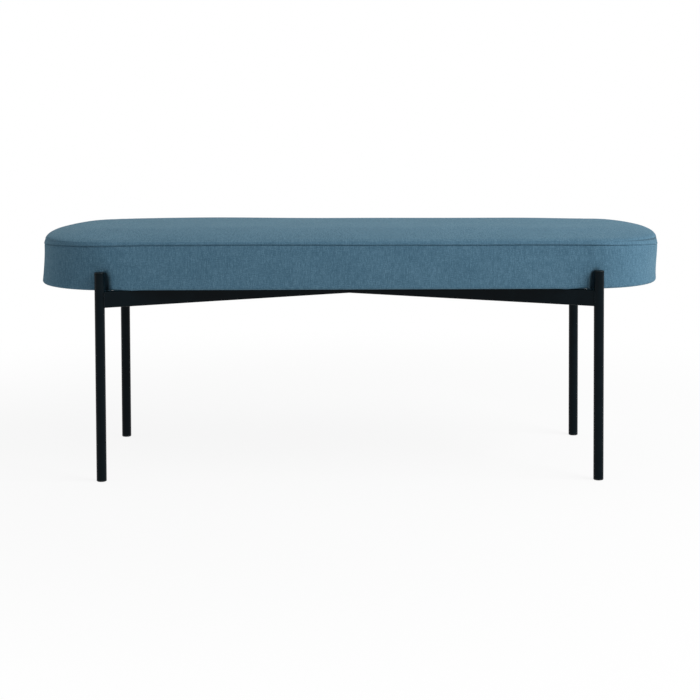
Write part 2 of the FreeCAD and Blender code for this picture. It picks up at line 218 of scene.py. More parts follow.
class Shader(Nodes):
    """A material being put together from nodes."""

    def __init__(self, name: str) -> None:
        """Start an empty material with its shader and output.

        Args:
            name: the material's name.
        """
        self.material = bpy.data.materials.new(name)
        self.material.use_nodes = True
        super().__init__(self.material.node_tree)
        self.surface = self.tree.nodes.new("ShaderNodeBsdfPrincipled")
        self.end = self.tree.nodes.new("ShaderNodeOutputMaterial").inputs["Surface"]
        self.tree.links.new(self.surface.outputs[0], self.end)

    def set(self, **values: Value) -> None:
        """Fill the shader's own sockets, with underscores for the spaces in their names."""
        for name, value in values.items():
            self.fill(self.surface.inputs[name.replace("_", " ")], value)

    def place(self) -> Socket:
        """The position on the piece, in metres."""
        return self.node("ShaderNodeTexCoord", output="Object")

    def cloth_map(self) -> Socket:
        """The position along and across the cloth, in metres, from the piece's own map."""
        return self.node("ShaderNodeUVMap", {"uv_map": "cloth"})

    def stretched(self, vector: Socket, scale: Sequence[float]) -> Socket:
        """Scale a position by a different amount along each axis."""
        return self.node("ShaderNodeMapping", {}, {"Vector": vector, "Scale": scale})

    def part(self, vector: Socket, axis: str) -> Socket:
        """Take one component of a position."""
        return self.node("ShaderNodeSeparateXYZ", {}, {0: vector}, axis)

    def noise(self, vector: Socket, scale: float, detail: float = 2.0, roughness: float = 0.5) -> Socket:
        """Fractal noise between 0 and 1."""
        inputs = {"Vector": vector, "Scale": scale, "Detail": detail, "Roughness": roughness}
        return self.node("ShaderNodeTexNoise", {}, inputs, "Fac")

    def cells(self, vector: Socket, scale: float) -> Socket:
        """Distance to the nearest of a field of scattered points."""
        return self.node("ShaderNodeTexVoronoi", {}, {"Vector": vector, "Scale": scale}, "Distance")

    def bump(self, height: Socket, distance: float, strength: float = 1.0) -> None:
        """Raise the surface by a height, and feed it to the shader's normal."""
        inputs = {"Height": height, "Distance": distance, "Strength": strength}
        self.set(Normal=self.node("ShaderNodeBump", {}, inputs))


@dataclass(frozen=True)
class Finish:
    """A material of the bench."""

    name: str

    def dress(self, shader: Shader) -> None:
        """Fill the material's nodes."""
        raise NotImplementedError

    def build(self) -> bpy.types.Material:
        """Make the material.

        Returns:
            The finished material.
        """
        shader = Shader(self.name)
        self.dress(shader)
        return shader.material


@dataclass(frozen=True)
class SeatCloth(Finish):
    """Blue-grey upholstery cloth: a fine plain weave of slightly uneven, heathered yarn, with painted shade
    in the folds beside the legs and in the crease above the lap.
    """

    name: str = "seat_cloth"
    base: Colour = (0.068, 0.152, 0.222)
    dark: Colour = (0.048, 0.118, 0.178)
    light: Colour = (0.100, 0.202, 0.282)
    yarn_pitch: float = 0.0013
    slub_across: float = 560.0
    slub_along: float = 90.0
    streak_across: float = 260.0
    streak_along: float = 22.0
    fleck: float = 560.0
    cloud: float = 14.0
    shares: Tuple[float, float, float, float] = (0.34, 0.20, 0.34, 0.12)
    contrast: float = 6.0
    clouding: float = 0.55
    # Painted shade: the near-black navy laid over the cloth in the folds beside the legs and the crease above
    # the lap, and how strongly it is laid.
    painted_fold_shadow: Colour = (0.006, 0.016, 0.024)
    painted_shade_strength: float = 0.84

    def dress(self, cloth: Shader) -> None:
        """Weave the cloth.

        Args:
            cloth: the material's nodes.
        """
        lay = cloth.cloth_map()
        along = cloth.part(lay, "X")
        across = cloth.part(lay, "Y")
        scales = (
            (self.slub_across, self.slub_along, 1.0),
            (self.slub_along, self.slub_across, 1.0),
            (self.streak_across, self.streak_along, 1.0),
        )
        warp, weft, streak = (
            cloth.noise(cloth.stretched(lay, scale), 1.0, 2.0, roughness)
            for scale, roughness in zip(scales, (0.6, 0.6, 0.5))
        )
        fleck = cloth.noise(lay, self.fleck, 1.0, 0.6)
        cloud = cloth.noise(lay, self.cloud, 3.0, 0.55)
        of_warp, of_weft, of_fleck, of_streak = self.shares
        heather = warp * of_warp + weft * of_weft + fleck * of_fleck + streak * of_streak
        tone = (heather - 0.5) * self.contrast + (cloud - 0.5) * self.clouding + 0.5
        shade = cloth.blend(tone.smooth(0.0, 0.5), self.dark, self.base)
        colour = cloth.blend(tone.smooth(0.5, 1.0), shade, self.light)
        # Painted shade: the cloth turns towards near-black navy where the seat's point attribute marks a fold
        # or crease.
        painted_crease_shade = cloth.node("ShaderNodeAttribute", {"attribute_name": "painted_crease_shade"}, output="Fac")
        colour = cloth.blend(painted_crease_shade.smooth(0.15, 0.85) * self.painted_shade_strength, colour, self.painted_fold_shadow)
        turn = 2.0 * math.pi / self.yarn_pitch
        weave = (along * turn).sine() * (across * turn).sine()
        height = weave * 0.35 + heather * 0.9 + cloth.noise(lay, 60.0, 3.0) * 0.6
        cloth.set(Base_Color=colour, Roughness=0.92, Sheen_Weight=0.22, Sheen_Roughness=0.45)
        cloth.set(Sheen_Tint=(0.55, 0.88, 1.0), Specular_IOR_Level=0.18)
        cloth.bump(height, 0.0006, 0.55)


@dataclass(frozen=True)
class PowderCoat(Finish):
    """Satin black powder coat, with the faint orange peel that it cures to."""

    name: str = "black_powder_coat"
    colour: Colour = (0.0010, 0.0042, 0.0064)
    worn: Colour = (0.0020, 0.0060, 0.0086)
    roughness: float = 0.25
    specular: float = 0.066

    def dress(self, coat: Shader) -> None:
        """Spread the coat.

        Args:
            coat: the material's nodes.
        """
        place = coat.place()
        peel = coat.noise(place, 620.0, 2.0)
        dust = coat.noise(place, 34.0, 3.0)
        coat.set(Base_Color=coat.blend(dust.smooth(0.35, 0.75), self.colour, self.worn))
        coat.set(Roughness=(peel - 0.5) * 0.10 + (dust - 0.5) * 0.12 + self.roughness)
        coat.set(Specular_IOR_Level=self.specular)
        coat.bump(peel, 0.00012, 0.35)


@dataclass(frozen=True)
class MouldedPlastic(Finish):
    """Black moulded plastic of the caps and glides, with a fine spark-eroded grain."""

    name: str = "black_plastic"
    colour: Colour = (0.0020, 0.0050, 0.0068)
    roughness: float = 0.38

    def dress(self, plastic: Shader) -> None:
        """Mould the plastic.

        Args:
            plastic: the material's nodes.
        """
        place = plastic.place()
        grain = plastic.noise(place, 1500.0, 1.0)
        smear = plastic.noise(place, 90.0, 2.0)
        plastic.set(Base_Color=plastic.blend(smear, self.colour, tuple(1.5 * part for part in self.colour)))
        plastic.set(Roughness=(smear - 0.5) * 0.15 + self.roughness, Specular_IOR_Level=0.16)
        plastic.bump(grain, 0.00005, 0.4)


@dataclass(frozen=True)
class SpunCloth(Finish):
    """Thin black spun cloth under the seat, spot-welded in a fine diamond of dots."""

    name: str = "dust_cloth"
    colour: Colour = (0.012, 0.012, 0.013)
    fibre: Colour = (0.030, 0.030, 0.032)
    dot_pitch: float = 0.0024

    def dress(self, cloth: Shader) -> None:
        """Spin the cloth.

        Args:
            cloth: the material's nodes.
        """
        place = cloth.place()
        across = cloth.part(place, "X")
        along = cloth.part(place, "Y")
        turn = 2.0 * math.pi / self.dot_pitch
        dots = ((across + along) * turn).sine() * ((across - along) * turn).sine()
        fibres = cloth.noise(place, 1100.0, 3.0, 0.7)
        sag = cloth.noise(place, 7.0, 2.0)
        cloth.set(Base_Color=cloth.blend(fibres.smooth(0.35, 0.75), self.colour, self.fibre))
        cloth.set(Roughness=0.85, Specular_IOR_Level=0.2)
        cloth.bump(dots.clamped(0.2, 1.0) * -0.3 + fibres * 0.3 + sag * 6.0, 0.0005, 0.6)


@dataclass(frozen=True)
class PlainWood(Finish):
    """Raw birch ply, with grain along the bench."""

    name: str = "birch_ply"
    early: Colour = (0.60, 0.42, 0.24)
    late: Colour = (0.45, 0.29, 0.15)

    def dress(self, wood: Shader) -> None:
        """Grow the grain and pores.

        Args:
            wood: the material's nodes.
        """
        place = wood.place()
        rings = wood.noise(wood.stretched(place, (3.0, 60.0, 400.0)), 1.0, 4.0, 0.6)
        pores = wood.noise(wood.stretched(place, (60.0, 1200.0, 1200.0)), 1.0, 1.0)
        wood.set(Base_Color=wood.blend(rings.smooth(0.35, 0.7), self.early, self.late))
        wood.set(Roughness=pores * 0.2 + 0.55)
        wood.bump(pores, 0.0002, 0.5)


@dataclass(frozen=True)
class Filling(Finish):
    """Foam or fleece, with cells or fibres of one size."""

    colour: Colour
    cell: float

    def dress(self, filling: Shader) -> None:
        """Fill with cells.

        Args:
            filling: the material's nodes.
        """
        place = filling.place()
        cells = filling.cells(place, 1.0 / self.cell)
        deep = tuple(0.6 * part for part in self.colour)
        filling.set(Base_Color=filling.blend(cells.smooth(0.0, 0.6), deep, self.colour), Roughness=0.95)
        filling.bump(cells, self.cell * 0.3, 0.7)


@dataclass(frozen=True)
class ZincPlate(Finish):
    """Bright zinc plate on screws, washers, tee nuts and staples."""

    name: str = "zinc_plate"
    colour: Colour = (0.62, 0.63, 0.65)

    def dress(self, zinc: Shader) -> None:
        """Plate the steel.

        Args:
            zinc: the material's nodes.
        """
        place = zinc.place()
        spangle = zinc.cells(place, 700.0)
        scratch = zinc.noise(zinc.stretched(place, (300.0, 300.0, 2400.0)), 1.0, 2.0)
        dull = tuple(0.75 * part for part in self.colour)
        zinc.set(Base_Color=zinc.blend(spangle.smooth(0.1, 0.6), self.colour, dull), Metallic=1.0)
        zinc.set(Roughness=scratch * 0.25 + 0.22)
        zinc.bump(scratch, 0.00004, 0.5)


class Finishes:
    """Every material of the bench, made once and shared."""

    def __init__(self) -> None:
        """Build the materials."""
        self.seat_cloth = SeatCloth().build()
        self.powder_coat = PowderCoat().build()
        self.plastic = MouldedPlastic().build()
        self.dust_cloth = SpunCloth().build()
        self.wood = PlainWood().build()
        self.foam = Filling("seat_foam", (0.78, 0.72, 0.50), 0.0012).build()
        self.fleece = Filling("wadding", (0.84, 0.84, 0.82), 0.0030).build()
        self.zinc = ZincPlate().build()

    def dress_frame(self, nodes: Dict[str, bpy.types.Object]) -> None:
        """Give each solid of the construction its finish, by the slot that the record names.

        Args:
            nodes: the solids by name.
        """
        by_slot = {
            "seat_cloth": self.seat_cloth,
            "wadding": self.fleece,
            "foam": self.foam,
            "plywood": self.wood,
            "dust_cloth": self.dust_cloth,
            "black_steel": self.powder_coat,
            "black_plastic": self.plastic,
            "plated_steel": self.zinc,
        }
        for entry in frame["record"]["subparts"]:
            mesh = nodes[entry["node"]].data
            mesh.materials.clear()
            mesh.materials.append(by_slot[entry["material_slot"]])


class Bench:
    """Shared ways of making, finishing and placing pieces."""

    @staticmethod
    def deselect() -> None:
        """Leave edit mode and drop the selection."""
        if bpy.context.object and bpy.context.object.mode != "OBJECT":
            bpy.ops.object.mode_set(mode="OBJECT")
        bpy.ops.object.select_all(action="DESELECT")

    @classmethod
    def choose(cls, piece: bpy.types.Object) -> None:
        """Select one piece alone and make it active.

        Args:
            piece: the piece.
        """
        cls.deselect()
        piece.hide_set(False)
        piece.select_set(True)
        bpy.context.view_layer.objects.active = piece

    @classmethod
    def apply(cls, piece: bpy.types.Object, kind: str, **settings: object) -> None:
        """Add a modifier to a piece and apply it.

        Args:
            piece: the piece.
            kind: the modifier's type.
            settings: the modifier's properties.
        """
        cls.choose(piece)
        modifier = piece.modifiers.new(kind.lower(), kind)
        for name, setting in settings.items():
            setattr(modifier, name, setting)
        bpy.ops.object.modifier_apply(modifier=modifier.name)

    @classmethod
    def add(cls, kind: str, name: str, **settings: object) -> bpy.types.Object:
        """Add a plain form.

        Args:
            kind: circle, cube, cylinder or plane.
            name: the piece's name.
            settings: the form's sizes and place.

        Returns:
            The new piece.
        """
        cls.deselect()
        getattr(bpy.ops.mesh, f"primitive_{kind}_add")(**settings)
        made = bpy.context.object
        made.name = name
        return made

    @staticmethod
    @contextmanager
    def editing(choice: str = "") -> Iterator[None]:
        """Edit the active piece's mesh, and come back to object mode.

        Args:
            choice: SELECT or DESELECT for all its points, or nothing to keep what is selected.

        Yields:
            Nothing.
        """
        bpy.ops.object.mode_set(mode="EDIT")
        if choice:
            bpy.ops.mesh.select_all(action=choice)
        yield
        bpy.ops.object.mode_set(mode="OBJECT")

    @classmethod
    def pick(cls, piece: bpy.types.Object, points: Iterable[int]) -> None:
        """Select some points of a piece, with nothing else selected.

        Args:
            piece: the piece.
            points: the points' numbers.
        """
        chosen = set(points)
        cls.choose(piece)
        with cls.editing("DESELECT"):
            bpy.ops.mesh.select_mode(type="VERT")
        for vertex in piece.data.vertices:
            vertex.select = vertex.index in chosen

    @classmethod
    def face_outward(cls) -> None:
        """Turn the active piece's faces outward."""
        with cls.editing("SELECT"):
            bpy.ops.mesh.normals_make_consistent(inside=False)

    @classmethod
    def extrude_ring(cls, piece: bpy.types.Object, ring: List[int]) -> List[int]:
        """Extrude one ring of edges.

        Args:
            piece: the piece.
            ring: the ring's points, in order.

        Returns:
            The new ring's points, in the same order.
        """
        cls.pick(piece, ring)
        with cls.editing():
            bpy.ops.mesh.extrude_region()
        points = piece.data.vertices
        by_place = {cls._key(points[i].co): i for i in range(len(points) - len(ring), len(points))}
        return [by_place[cls._key(points[old].co)] for old in ring]

    @staticmethod
    def _key(spot: Vector) -> Tuple[int, int, int]:
        """A place rounded to a hundredth of a millimetre."""
        return tuple(round(part * 100000) for part in spot)

    @classmethod
    def join(cls, pieces: Sequence[bpy.types.Object], name: str) -> bpy.types.Object:
        """Join pieces into one, with its faces turned outward.

        Args:
            pieces: the pieces to join.
            name: the new piece's name.

        Returns:
            The joined piece.
        """
        cls.deselect()
        for piece in pieces:
            piece.select_set(True)
        bpy.context.view_layer.objects.active = pieces[0]
        bpy.ops.object.join()
        joined = bpy.context.object
        joined.name = name
        cls.face_outward()
        return joined

    @classmethod
    def finish(
        cls,
        piece: bpy.types.Object,
        material: bpy.types.Material,
        slot: str,
        replaces: Sequence[str] = (),
        smooth_angle: float = 40.0,
    ) -> bpy.types.Object:
        """Dress a piece, shade it smooth and set it on the bench.

        Args:
            piece: the piece, with its place in its mesh.
            material: its finish.
            slot: the record's material slot, which is not used.
            replaces: solids of the construction that it stands for.
            smooth_angle: edges sharper than this stay sharp, in degrees.

        Returns:
            The piece.
        """
        cls.choose(piece)
        bpy.ops.object.transform_apply()
        piece.data.materials.clear()
        piece.data.materials.append(material)
        bpy.ops.object.shade_smooth_by_angle(angle=math.radians(smooth_angle))
        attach(piece, "root")
        if replaces:
            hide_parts(*replaces)
        log.info("%s: %d faces", piece.name, len(piece.data.polygons))
        return piece


class Beside(NamedTuple):
    """Where a place lies against the outline: how far along it and inside it, and the way out."""

    run: float
    inset: float
    out: Vector


@dataclass(frozen=True)
class Column:
    """One upright line of the seat's side: its place on the outline, and the way out from it."""

    place: Vector
    out: Vector
    run: float


@dataclass
class SeatPlan:
    """The seat's outline from above: straight sides, four corner arcs and two bowed ends."""

    corner_spacing: float = 0.090
    end_radius: float = 0.510
    column_step: float = 0.009
    leg_step: float = 0.0028
    leg_reach: float = 0.030

    def __post_init__(self) -> None:
        """Take the overall size from the border of the cover."""
        low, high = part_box("cover_border")
        self.half_length = (high.x - low.x) / 2
        self.half_depth = (high.y - low.y) / 2
        self.corner_y = self.corner_spacing / 2
        self.corner_radius = self.half_depth - self.corner_y
        self.end_x = self.half_length - self.end_radius
        reach = self.end_radius - self.corner_radius
        self.corner_x = self.end_x + math.sqrt(reach**2 - self.corner_y**2)
        self.tip_angle = math.atan2(self.corner_y, self.corner_x - self.end_x)
        self.corner_run = self.corner_x + (math.pi / 2 - self.tip_angle) * self.corner_radius
        self.quarter_run = self.corner_run + self.tip_angle * self.end_radius
        leg_low, leg_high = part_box("leg_rear_right")
        self.leg_run = self.beside((leg_low.x + leg_high.x) / 2, (leg_low.y + leg_high.y) / 2).run

    def beside(self, x: float, y: float) -> Beside:
        """Where a place lies against the outline.

        Args:
            x: the place along the bench.
            y: the place across it.

        Returns:
            The length of outline to it from a long side's middle, signed as x is, its depth and the way out.
        """
        across, along = abs(x), abs(y)
        if across <= self.corner_x:
            return Beside(x, self.half_depth - along, Vector((0.0, math.copysign(1.0, y), 0.0)))
        turn = math.atan2(along - self.corner_y, across - self.corner_x)
        if turn >= self.tip_angle:
            across, along, radius = across - self.corner_x, along - self.corner_y, self.corner_radius
            run = self.corner_x + (math.pi / 2 - turn) * radius
        else:
            across, radius = across - self.end_x, self.end_radius
            run = self.corner_run + (self.tip_angle - min(math.atan2(along, across), self.tip_angle)) * radius
        reach = math.hypot(across, along)
        out = Vector((math.copysign(across / reach, x), math.copysign(along / reach, y), 0.0))
        return Beside(math.copysign(run, x), radius - reach, out)

    def at(self, run: float) -> Column:
        """The column of the back right quarter that stands at a length of outline.

        Args:
            run: the length from the middle of the back, between 0 and quarter_run.

        Returns:
            The column.
        """
        if run <= self.corner_x:
            return Column(Vector((run, self.half_depth, 0.0)), Vector((0.0, 1.0, 0.0)), run)
        if run <= self.corner_run:
            angle = math.pi / 2 - (run - self.corner_x) / self.corner_radius
            centre, radius = Vector((self.corner_x, self.corner_y, 0.0)), self.corner_radius
        else:
            angle = self.tip_angle - (run - self.corner_run) / self.end_radius
            centre, radius = Vector((self.end_x, 0.0, 0.0)), self.end_radius
        out = Vector((math.cos(angle), math.sin(angle), 0.0))
        return Column(centre + out * radius, out, run)

    def columns(self) -> List[Column]:
        """All columns round the seat, close together beside the legs.

        Returns:
            The columns, turning from the middle of the back to the right and on round.
        """
        stops = (0.0, self.leg_run - self.leg_reach, self.leg_run + self.leg_reach, self.quarter_run)
        runs: List[float] = []
        for start, end, step in zip(stops, stops[1:], (self.column_step, self.leg_step, self.column_step)):
            count = max(2, round((end - start) / step))
            runs += [start + (end - start) * i / count for i in range(count)]
        runs.append(self.quarter_run)
        quarter = [self.at(run) for run in runs]
        ring = quarter + [self.mirrored(column, 1, -1) for column in reversed(quarter[:-1])]
        return ring + [self.mirrored(column, -1, 1) for column in reversed(ring[1:-1])]

    @staticmethod
    def mirrored(column: Column, across: int, along: int) -> Column:
        """The same column on another quarter of the seat.

        Args:
            column: the column of the back right quarter.
            across: -1 for the left, 1 for the right.
            along: -1 for the front, 1 for the back.

        Returns:
            The column there.
        """
        flip = Vector((across, along, 1.0))
        return Column(column.place * flip, column.out * flip, column.run * across)


@dataclass(frozen=True)
class Swell:
    """A soft rise or dip along the seat."""

    middle: float
    reach: float
    rise: float

    def at(self, place: float) -> float:
        """Its height at a place."""
        return self.rise * bell(place, self.middle, self.reach)


@dataclass
class SeatForm:
    """The shape of the sewn seat: its side, lapped seam and crown, and how far each strays from true."""

    plan: SeatPlan
    foot_radius: float = 0.0050
    foot_draw: float = 0.0006
    seam_draw: float = 0.0012
    side_steps: int = 7
    groove_depth: float = 0.0026
    groove_width: float = 0.0022
    lap_height: float = 0.0068
    lap_draw: float = 0.0012
    crease_depth: float = 0.0007
    crown_rise: float = 0.0255
    crown_reach: float = 0.131
    crown_power: float = 2.65
    crown_steps: int = 9
    grid_inset: float = 0.044
    turn_under: float = 0.028
    cover_thickness: float = 0.0012
    board_gap: float = 0.0001
    fixed_inset: float = 0.0119
    rim_inset: float = 0.0019
    rim_fade: float = 0.0014
    slack: float = 0.0020
    lean: float = 0.0033
    stuffing_reach: float = 0.030
    seam_strays: Tuple[Swell, ...] = (
        Swell(-0.20, 0.20, 0.0029),
        Swell(-0.39, 0.07, 0.0014),
        Swell(0.10, 0.10, 0.0006),
        Swell(0.34, 0.08, 0.0005),
        Swell(-0.725, 0.135, -0.0100),
        Swell(0.725, 0.165, -0.0145),
    )
    stuffing: Tuple[Swell, ...] = (
        Swell(-0.28, 0.17, 0.0028),
        Swell(0.04, 0.12, 0.0007),
        Swell(0.46, 0.08, -0.0020),
    )

    def __post_init__(self) -> None:
        """Read the heights of the underside, the seam and the board."""
        low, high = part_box("cover_border")
        self.underside = low.z
        self.seam = high.z
        board_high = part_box("base_board")[1]
        self.board_top = board_high.z
        self.board_inset = self.plan.half_depth - board_high.y

    def crown(self, inset: float) -> float:
        """Height of the crown above the seam, at a depth inside the outline."""
        share = unit(inset / self.crown_reach)
        return self.crown_rise * math.sqrt(1.0 - (1.0 - share) ** self.crown_power)

    def levels(self) -> List[Tuple[float, float]]:
        """The seat's section from the board's rebate out under the edge, up the side and over the rim.

        Returns:
            Pairs of an inset and a height.
        """
        return self._rebate() + self._foot() + self._side() + self._lapped_seam() + self._rim()

    def _rebate(self) -> List[Tuple[float, float]]:
        """The recess that holds the board, and the cloth turned under it.

        Returns:
            Its levels, from the board out.
        """
        inside = self.board_inset - self.board_gap
        lip = self.underside + self.cover_thickness - self.board_gap
        return [
            (inside, self.board_top + self.board_gap),
            (inside, (self.board_top + lip) / 2),
            (inside, lip),
            (self.turn_under, lip),
            (self.turn_under, self.underside),
            (self.fixed_inset, self.underside),
        ]

    def _foot(self) -> List[Tuple[float, float]]:
        """The small round at the foot of the side.

        Returns:
            Its levels, from the underside out and up.
        """
        turns = [math.radians(angle) for angle in (0, 22, 45, 68, 90)]
        radius = self.foot_radius
        return [
            (self.foot_draw + radius * (1 - math.sin(turn)), self.underside + radius * (1 - math.cos(turn)))
            for turn in turns
        ]

    def _side(self) -> List[Tuple[float, float]]:
        """The side, drawn in a little at its foot and its seam.

        Returns:
            Its levels, from the foot up.
        """
        levels = []
        low = self.underside + self.foot_radius
        high = self.seam - 1.5 * self.groove_width
        for step in range(1, self.side_steps + 1):
            share = step / self.side_steps
            draw = self.foot_draw * (1 - share) ** 3 + self.seam_draw * share**4
            levels.append((draw, low + (high - low) * share))
        return levels

    def _lapped_seam(self) -> List[Tuple[float, float]]:
        """The sewn groove, the flat lap above it, and the crease where the lap ends.

        Returns:
            Its levels, from the groove up.
        """
        face = self.seam_draw
        half = self.groove_width / 2
        top = self.seam + self.lap_height
        lean = self.lap_draw
        return [
            (face + 0.0003, self.seam - half),
            (face + self.groove_depth, self.seam - 0.2 * half),
            (face + self.groove_depth, self.seam + 0.2 * half),
            (face - 0.0003, self.seam + half),
            (face - 0.0004, self.seam + 2 * half),
            (face + 0.3 * lean, self.seam + 0.55 * self.lap_height),
            (face + lean, top - 0.0012),
            (face + lean + self.crease_depth, top - 0.0003),
            (face + lean + self.crease_depth, top + 0.0004),
        ]

    def _rim(self) -> List[Tuple[float, float]]:
        """The steep rim of the crown, from the crease to where the top is filled.

        Returns:
            Its levels, from the crease in.
        """
        levels = []
        start = self.seam_draw + self.lap_draw
        for step in range(1, self.crown_steps + 1):
            share = (step / self.crown_steps) ** 1.5
            inset = start + (self.grid_inset - start) * share
            levels.append((inset, self.seam + self.crown(inset)))
        lowest = self.seam + self.lap_height + 0.0012
        return [(inset, max(height, lowest + 0.0004 * i)) for i, (inset, height) in enumerate(levels)]

    def up_side(self, spot: Vector) -> float:
        """How far up the side a place is, from 0 at its foot to 1 at the seam."""
        return unit((spot.z - self.underside) / (self.seam - self.underside))

    def at_foot(self, spot: Vector) -> bool:
        """Whether a place is within the round at the foot of the side."""
        return spot.z < self.underside + self.foot_radius

    def seam_shift(self, run: float) -> float:
        """How far the seam strays up or down at a length of outline."""
        return sum(stray.at(run) for stray in self.seam_strays)

    def settle(self, spot: Vector) -> Vector:
        """Move a point of the true form to where the real seat, sewn and stuffed by hand, has it.

        Args:
            spot: the point on the true form.

        Returns:
            The point on the real seat.
        """
        near = self.plan.beside(spot.x, spot.y)
        up = self.up_side(spot)
        follow = up**1.5 * math.exp(-max(near.inset - self.rim_inset, 0.0) / self.rim_fade)
        rise = follow * self.seam_shift(near.run)
        if spot.z > self.seam:
            inside = 1.0 - bell(near.inset, 0.0, self.stuffing_reach)
            rise += inside * sum(lump.at(spot.x) for lump in self.stuffing)
        lean = self.lean * up * up * (3.0 - 2.0 * up)
        return Vector((spot.x + lean, spot.y, spot.z + rise))


@dataclass(frozen=True)
class Wrinkles:
    """Small unevenness of sewing and stuffing round the seat's side, strongest at the ends, with painted
    shade along the crease above the lap.
    """

    reach: float = 0.060
    ends_run: float = 0.50
    ends_softness: float = 0.03
    pucker: float = 0.00035
    pucker_amid: float = 0.3
    pucker_above: float = 0.003
    pucker_height: float = 0.006
    ripples: float = 900.0
    ripple_stray: float = 3.0
    ripple_rate: float = 30.0
    drape: float = 0.0007
    drape_amid: float = 0.35
    drape_rates: Tuple[float, float] = (34.0, 5.0)
    drape_height: float = 0.083
    crease: float = 0.0007
    crease_width: float = 0.0009
    # Strength of the painted shade along the crease at the left and right ends; the right end is painted
    # darker.
    crease_shade: Tuple[float, float] = (0.34, 0.66)

    def at(self, form: SeatForm, spot: Vector, near: Beside) -> Tuple[float, float]:
        """The unevenness at a place.

        Args:
            form: the seat's form.
            spot: the place.
            near: where it lies against the outline.

        Returns:
            How far the cloth stands out there, and how much painted shade darkens the crease.
        """
        if near.inset >= self.reach or spot.z <= form.underside + form.foot_radius:
            return 0.0, 0.0
        ends = past(abs(near.run), self.ends_run, self.ends_softness)
        stray = self.ripple_stray * noise.noise(Vector((near.run * self.ripple_rate, 0.0, 1.0)))
        out = self.pucker * math.sin(near.run * self.ripples + stray)
        out *= bell(spot.z, form.seam + self.pucker_above, self.pucker_height)
        out *= self.pucker_amid + (1.0 - self.pucker_amid) * ends
        along, up = self.drape_rates
        drape = self.drape * noise.noise(Vector((near.run * along, spot.z * up, spot.y)))
        drape *= math.sin(math.pi * unit((spot.z - form.underside) / self.drape_height))
        drape *= self.drape_amid + (1.0 - self.drape_amid) * ends
        crease = bell(spot.z, form.seam + form.lap_height, self.crease_width) * ends
        # The second value is painted shade for the crease line, darker at the right end.
        return out + drape - self.crease * crease, self.crease_shade[spot.x > 0] * crease


@dataclass(frozen=True)
class LegPlace:
    """Where one leg stands against the seat."""

    axis: Vector
    radius: float
    top: float
    run: float

    @classmethod
    def of(cls, name: str, plan: SeatPlan) -> "LegPlace":
        """Read a leg's place from its solids.

        Args:
            name: which leg.
            plan: the seat's outline.

        Returns:
            The place.
        """
        low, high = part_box(f"leg_{name}")
        axis = (low + high) / 2
        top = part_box(f"leg_cap_{name}")[1].z
        return cls(axis, (high.x - low.x) / 2, top, plan.beside(axis.x, axis.y).run)

    @property
    def inward(self) -> float:
        """The sign of the way across the bench towards the seat."""
        return -math.copysign(1.0, self.axis.y)

    def past_leg(self, near: Beside) -> float:
        """How far along the outline a place is from the leg, towards the bench's middle."""
        return (near.run - self.run) * -math.copysign(1.0, self.axis.x)

    def beside_bar(self, spot: Vector) -> float:
        """How far to the side of its bar's middle line a place is."""
        return abs(Vector((self.axis.x, self.axis.y)).normalized().cross(Vector((spot.x, spot.y))))


@dataclass(frozen=True)
class Sag:
    """The slight hang of the cloth beside the bars, on the legs' inner sides."""

    depth: float = 0.0022
    over_bar: float = 0.20
    bar_half_width: float = 0.0075
    bar_clear: float = 0.0008
    bar_edge: float = 0.0012
    reach: float = 0.060
    start: float = -0.002
    softness: float = 0.002
    fade: float = 0.002

    def drop(self, form: SeatForm, spot: Vector, near: Beside, leg: LegPlace) -> float:
        """How far the cloth hangs down at a place.

        Args:
            form: the seat's form.
            spot: a point at the foot of the seat.
            near: where it lies against the outline.
            leg: the leg's place.

        Returns:
            The drop.
        """
        past_leg = leg.past_leg(near)
        clear = unit((leg.beside_bar(spot) - self.bar_half_width - self.bar_clear) / self.bar_edge)
        hang = self.over_bar + (1.0 - self.over_bar) * clear
        hang *= math.exp(-((past_leg / self.reach) ** 4)) * past(past_leg, self.start, self.softness)
        hang *= 1.0 - (spot.z - form.underside) / form.foot_radius
        return self.depth * hang * unit((form.fixed_inset - near.inset) / self.fade)


@dataclass(frozen=True)
class Tuck:
    """The fold beside each leg, where the cloth is pushed in behind it."""

    above: float = 0.012
    reach: float = 0.012
    depth: float = 0.0110
    start: float = 0.002
    start_softness: float = 0.0015
    edge: float = 0.0152
    edge_softness: float = 0.0016
    narrowing: float = 0.0060
    narrowing_height: float = 0.010
    below_top: float = 0.0030
    top_softness: float = 0.0012
    board_clear: float = 0.0015
    board_rise: Tuple[float, float] = (0.002, 0.006)

    def fold(self, spot: Vector, past_leg: float, top: float) -> float:
        """How deep in the fold a place is.

        Args:
            spot: the place.
            past_leg: its length of outline from the leg, towards the bench's middle.
            top: the height of the leg's top.

        Returns:
            A share between 0 and 1.
        """
        edge = self.edge - self.narrowing * math.exp(-max(top - spot.z, 0.0) / self.narrowing_height)
        fold = past(top - spot.z, self.below_top, self.top_softness)
        fold *= past(edge, past_leg, self.edge_softness)
        return fold * past(past_leg, self.start, self.start_softness)

    def room(self, form: SeatForm, spot: Vector, inset: float) -> float:
        """How far in the cloth can go at a place before it meets the board.

        Args:
            form: the seat's form.
            spot: the place.
            inset: its depth inside the outline.

        Returns:
            The depth of the fold there.
        """
        start, height = self.board_rise
        above_board = unit((spot.z - form.board_top - start) / height)
        room = max(form.board_inset - form.board_gap - self.board_clear - inset, 0.0)
        return self.depth * above_board + min(self.depth, room) * (1.0 - above_board)


